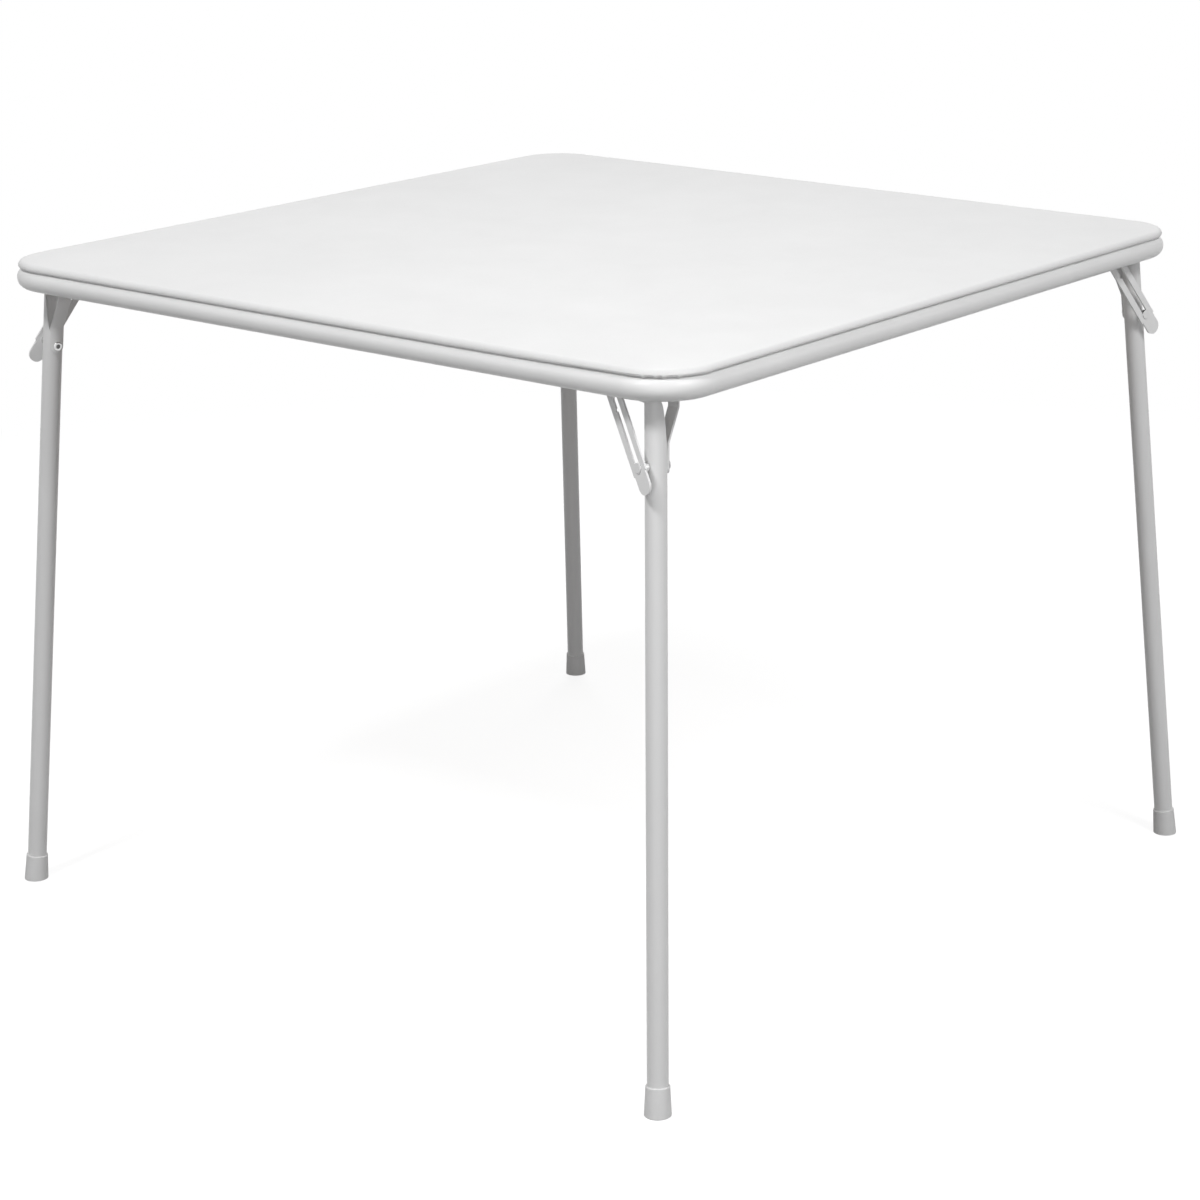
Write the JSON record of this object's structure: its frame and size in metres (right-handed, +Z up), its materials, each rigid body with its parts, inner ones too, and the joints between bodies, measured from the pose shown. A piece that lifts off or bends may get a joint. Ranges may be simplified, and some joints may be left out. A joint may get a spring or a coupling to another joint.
{
  "type": "folding card table",
  "caption": "Square folding card table with a padded vinyl top, round tube frame and splayed corner legs that fold flat under it on slotted lock struts.",
  "frame": {"origin": "on the floor under the middle of the top", "axes": "+Z up, +Y towards the back, +X to the right; the front right corner is the one nearest the camera"},
  "size_m": [0.9342, 0.9342, 0.6858],
  "materials": {
    "enamel": "light grey-white powder coat, satin",
    "vinyl": "light vinyl, fine grain, satin",
    "foot_rubber": "light grey, matt",
    "bare_steel": "zinc plated, semi-bright",
    "board": "brown hardboard, matt",
    "foam": "foam sheet, matt"
  },
  "bodies": {
    "frame": {"frame_ring": "enamel", "frame_splice_sleeve": "bare_steel", "top_board": "board", "foam_pad": "foam", "vinyl_cover": "vinyl", "panel_screws": "bare_steel", "rail_tab_front": "enamel", "rail_tab_right": "enamel", "rail_tab_back": "enamel", "rail_tab_left": "enamel", "corner_bracket_front_right": "enamel", "hinge_pin_front_right": "enamel", "strut_pivot_rivet_front_right": "enamel", "strut_spacer_front_right": "bare_steel", "corner_bracket_back_right": "enamel", "hinge_pin_back_right": "enamel", "strut_pivot_rivet_back_right": "enamel", "strut_spacer_back_right": "bare_steel", "corner_bracket_back_left": "enamel", "hinge_pin_back_left": "enamel", "strut_pivot_rivet_back_left": "enamel", "strut_spacer_back_left": "bare_steel", "corner_bracket_front_left": "enamel", "hinge_pin_front_left": "enamel", "strut_pivot_rivet_front_left": "enamel", "strut_spacer_front_left": "bare_steel"},
    "leg_front_right": {"leg_tube_front_right": "enamel", "foot_cap_front_right": "foot_rubber", "side_strap_front_right": "enamel", "hinge_spacer_front_right": "bare_steel", "leg_rivet_front_right": "bare_steel"},
    "strut_front_right": {"lock_strut_front_right": "enamel"},
    "lock_pin_front_right": {"lock_rivet_front_right": "bare_steel"},
    "leg_back_right": {"leg_tube_back_right": "enamel", "foot_cap_back_right": "foot_rubber", "side_strap_back_right": "enamel", "hinge_spacer_back_right": "bare_steel", "leg_rivet_back_right": "bare_steel"},
    "strut_back_right": {"lock_strut_back_right": "enamel"},
    "lock_pin_back_right": {"lock_rivet_back_right": "bare_steel"},
    "leg_back_left": {"leg_tube_back_left": "enamel", "foot_cap_back_left": "foot_rubber", "side_strap_back_left": "enamel", "hinge_spacer_back_left": "bare_steel", "leg_rivet_back_left": "bare_steel"},
    "strut_back_left": {"lock_strut_back_left": "enamel"},
    "lock_pin_back_left": {"lock_rivet_back_left": "bare_steel"},
    "leg_front_left": {"leg_tube_front_left": "enamel", "foot_cap_front_left": "foot_rubber", "side_strap_front_left": "enamel", "hinge_spacer_front_left": "bare_steel", "leg_rivet_front_left": "bare_steel"},
    "strut_front_left": {"lock_strut_front_left": "enamel"},
    "lock_pin_front_left": {"lock_rivet_front_left": "bare_steel"}
  },
  "joints": [
    {"name": "leg_fold_front_right", "type": "hinge", "parent": "frame", "child": "leg_front_right", "pos_m": [0.3923, -0.4033, 0.659], "axis": [0.2752, 0.9596, -0.0594], "range_deg": [0, 94.24]},
    {"name": "strut_swing_front_right", "type": "hinge", "parent": "frame", "child": "strut_front_right", "pos_m": [0.34683, -0.40905, 0.66016], "axis": [0.2752, 0.9596, -0.0594], "range_deg": [0, 125.43]},
    {"name": "lock_pin_slide_front_right", "type": "slide", "parent": "strut_front_right", "child": "lock_pin_front_right", "axis": [-0.5468, 0.207, 0.8113], "range_m": [0, 0.05713]},
    {"name": "leg_fold_back_right", "type": "hinge", "parent": "frame", "child": "leg_back_right", "pos_m": [0.4033, 0.3923, 0.659], "axis": [-0.9596, 0.2752, -0.0594], "range_deg": [0, 94.24]},
    {"name": "strut_swing_back_right", "type": "hinge", "parent": "frame", "child": "strut_back_right", "pos_m": [0.40905, 0.34683, 0.66016], "axis": [-0.9596, 0.2752, -0.0594], "range_deg": [0, 125.43]},
    {"name": "lock_pin_slide_back_right", "type": "slide", "parent": "strut_back_right", "child": "lock_pin_back_right", "axis": [-0.207, -0.5468, 0.8113], "range_m": [0, 0.05713]},
    {"name": "leg_fold_back_left", "type": "hinge", "parent": "frame", "child": "leg_back_left", "pos_m": [-0.3923, 0.4033, 0.659], "axis": [-0.2752, -0.9596, -0.0594], "range_deg": [0, 94.24]},
    {"name": "strut_swing_back_left", "type": "hinge", "parent": "frame", "child": "strut_back_left", "pos_m": [-0.34683, 0.40905, 0.66016], "axis": [-0.2752, -0.9596, -0.0594], "range_deg": [0, 125.43]},
    {"name": "lock_pin_slide_back_left", "type": "slide", "parent": "strut_back_left", "child": "lock_pin_back_left", "axis": [0.5468, -0.207, 0.8113], "range_m": [0, 0.05713]},
    {"name": "leg_fold_front_left", "type": "hinge", "parent": "frame", "child": "leg_front_left", "pos_m": [-0.4033, -0.3923, 0.659], "axis": [0.9596, -0.2752, -0.0594], "range_deg": [0, 94.24]},
    {"name": "strut_swing_front_left", "type": "hinge", "parent": "frame", "child": "strut_front_left", "pos_m": [-0.40905, -0.34683, 0.66016], "axis": [0.9596, -0.2752, -0.0594], "range_deg": [0, 125.43]},
    {"name": "lock_pin_slide_front_left", "type": "slide", "parent": "strut_front_left", "child": "lock_pin_front_left", "axis": [0.207, 0.5468, 0.8113], "range_m": [0, 0.05713]}
  ],
  "couplings": [
    {"joint": "strut_swing_front_right", "follows": "leg_fold_front_right", "ratio": 1.3309},
    {"joint": "lock_pin_slide_front_right", "follows": "leg_fold_front_right", "m_per_rad": 0.034734},
    {"joint": "strut_swing_back_right", "follows": "leg_fold_back_right", "ratio": 1.3309},
    {"joint": "lock_pin_slide_back_right", "follows": "leg_fold_back_right", "m_per_rad": 0.034734},
    {"joint": "strut_swing_back_left", "follows": "leg_fold_back_left", "ratio": 1.3309},
    {"joint": "lock_pin_slide_back_left", "follows": "leg_fold_back_left", "m_per_rad": 0.034734},
    {"joint": "strut_swing_front_left", "follows": "leg_fold_front_left", "ratio": 1.3309},
    {"joint": "lock_pin_slide_front_left", "follows": "leg_fold_front_left", "m_per_rad": 0.034734}
  ]
}
